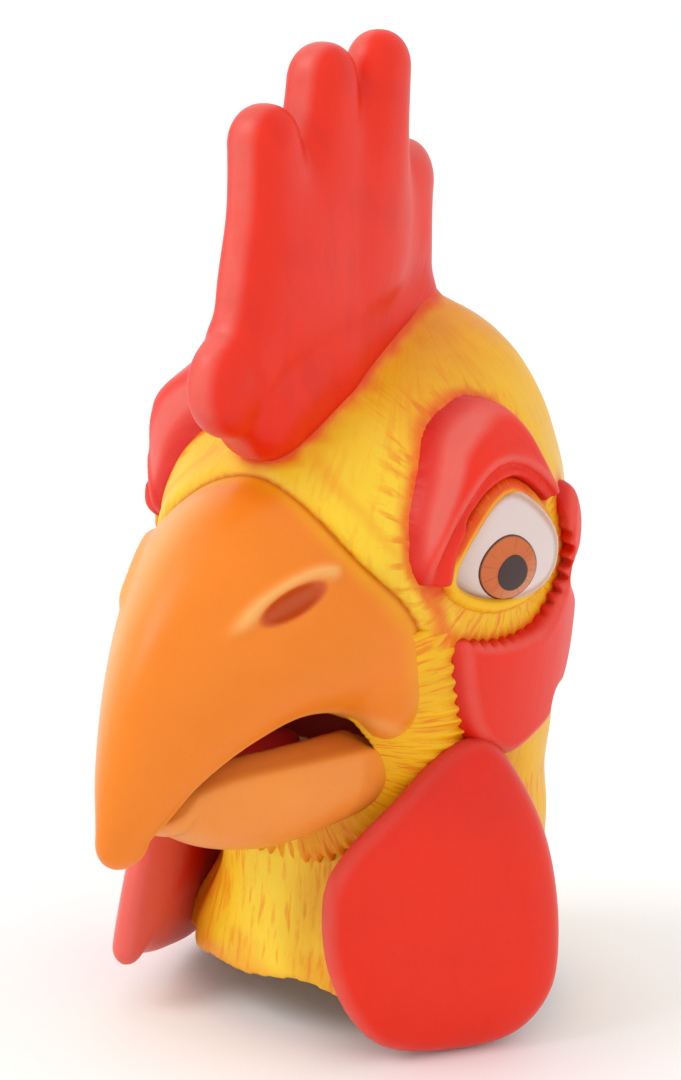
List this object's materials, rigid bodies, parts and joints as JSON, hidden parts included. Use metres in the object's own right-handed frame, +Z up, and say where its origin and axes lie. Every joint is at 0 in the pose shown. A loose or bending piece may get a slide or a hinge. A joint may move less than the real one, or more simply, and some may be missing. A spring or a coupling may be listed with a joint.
{
  "type": "rooster head mask",
  "caption": "Full-head latex rooster mask with a parted hooked beak, tall comb, round eyes and hanging wattles; worn over the head.",
  "frame": {"origin": "centre of the neck opening in the plane of the hem", "axes": "+Z up along the neck, -Y the way the beak points, +X towards the mask's own left side"},
  "size_m": [0.2447, 0.3283, 0.4886],
  "materials": {
    "yellow_latex": "painted latex, semi-gloss, orange airbrush shading",
    "feather_latex": "painted latex with feather relief, semi-gloss",
    "orange_latex": "painted latex, satin",
    "red_latex": "painted latex, semi-gloss",
    "mouth_latex": "painted latex, matt",
    "tongue_latex": "painted latex, satin",
    "foam": "open-cell foam core",
    "eye_white": "gloss enamel",
    "iris_paint": "gloss enamel",
    "pupil_paint": "gloss enamel"
  },
  "bodies": {
    "head": {"head_skin": "yellow_latex", "upper_beak": "orange_latex", "palate": "mouth_latex", "brow_left": "red_latex", "brow_right": "red_latex", "ear_patch_left": "red_latex", "ear_patch_right": "red_latex", "feather_collar_left": "feather_latex", "feather_collar_right": "feather_latex", "eyelid_left": "feather_latex", "eyelid_right": "feather_latex", "eye_shell_left": "eye_white", "eye_shell_right": "eye_white", "iris_left": "iris_paint", "iris_right": "iris_paint", "pupil_left": "pupil_paint", "pupil_right": "pupil_paint"},
    "jaw": {"lower_beak": "orange_latex", "mouth_floor": "mouth_latex", "tongue": "tongue_latex"},
    "comb": {"comb_skin": "red_latex", "comb_foam": "foam"},
    "wattle_left": {"wattle_left": "red_latex"},
    "wattle_right": {"wattle_right": "red_latex"}
  },
  "joints": [
    {"name": "jaw_open", "type": "hinge", "parent": "head", "child": "jaw", "pos_m": [0, -0.095, 0.15], "axis": [1, 0, 0], "range_deg": [0, 10], "stiffness_Nm_per_rad": 1.5, "springref_deg": -4.58},
    {"name": "comb_sway", "type": "hinge", "parent": "head", "child": "comb", "pos_m": [0, 0, 0.336], "axis": [0, 0.9023, 0.4311], "range_deg": [-8, 8], "stiffness_Nm_per_rad": 4},
    {"name": "wattle_left_swing", "type": "hinge", "parent": "head", "child": "wattle_left", "pos_m": [0.0857, -0.0535, 0.132], "axis": [-0.53, -0.848, 0], "range_deg": [0, 35], "stiffness_Nm_per_rad": 0.2},
    {"name": "wattle_right_swing", "type": "hinge", "parent": "head", "child": "wattle_right", "pos_m": [-0.0971, -0.0278, 0.128], "axis": [-0.276, 0.9611, 0], "range_deg": [0, 35], "stiffness_Nm_per_rad": 0.2}
  ]
}
